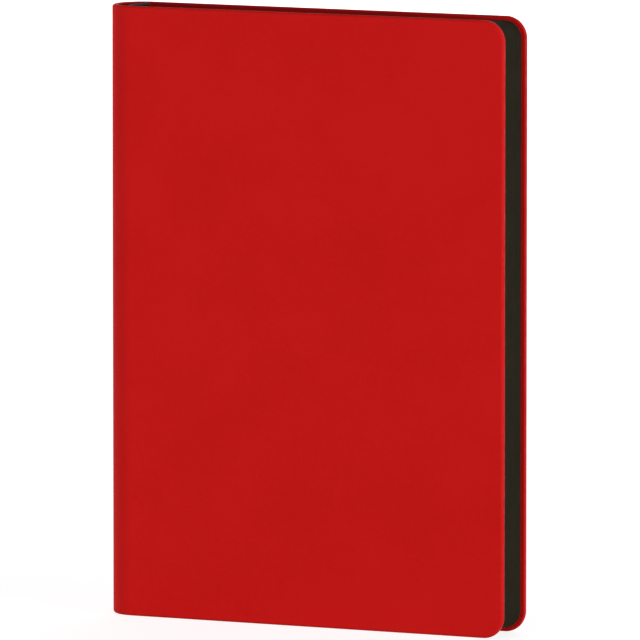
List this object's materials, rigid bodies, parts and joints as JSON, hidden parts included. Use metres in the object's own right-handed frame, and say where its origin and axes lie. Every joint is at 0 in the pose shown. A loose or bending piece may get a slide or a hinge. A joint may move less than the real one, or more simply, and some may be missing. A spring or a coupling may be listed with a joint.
{
  "type": "undated planner",
  "caption": "Upright case-bound planner with a smooth red cover, a round spine, rounded outer corners and a black-edged block of leaves; both covers open.",
  "frame": {"origin": "middle of the planner's bounding box, on the surface that it stands on", "axes": "+Z from tail to head, +X from the spine to the fore-edge, +Y from the front cover to the back cover"},
  "size_m": [0.15, 0.0206, 0.21],
  "materials": {
    "cover": "smooth soft-touch artificial leather, satin",
    "leaves": "sheet edges stained black, matt",
    "endpaper": "uncoated ivory paper",
    "lining": "open cotton mull stiffened with glue",
    "headband": "woven black cotton"
  },
  "bodies": {
    "book": {"page_block": "leaves", "spine_cover": "cover", "front_flyleaf": "endpaper", "back_flyleaf": "endpaper", "spine_lining": "lining", "headband": "headband", "tailband": "headband"},
    "front": {"front_cover": "cover", "front_pastedown": "endpaper"},
    "back": {"back_cover": "cover", "back_pastedown": "endpaper"}
  },
  "joints": [
    {"name": "front_cover_hinge", "type": "hinge", "parent": "book", "child": "front", "pos_m": [-0.06463, -0.0104, 0], "axis": [0, 0, -1], "range_deg": [0, 178]},
    {"name": "back_cover_hinge", "type": "hinge", "parent": "book", "child": "back", "pos_m": [-0.06463, 0.0104, 0], "axis": [0, 0, 1], "range_deg": [0, 178]}
  ]
}
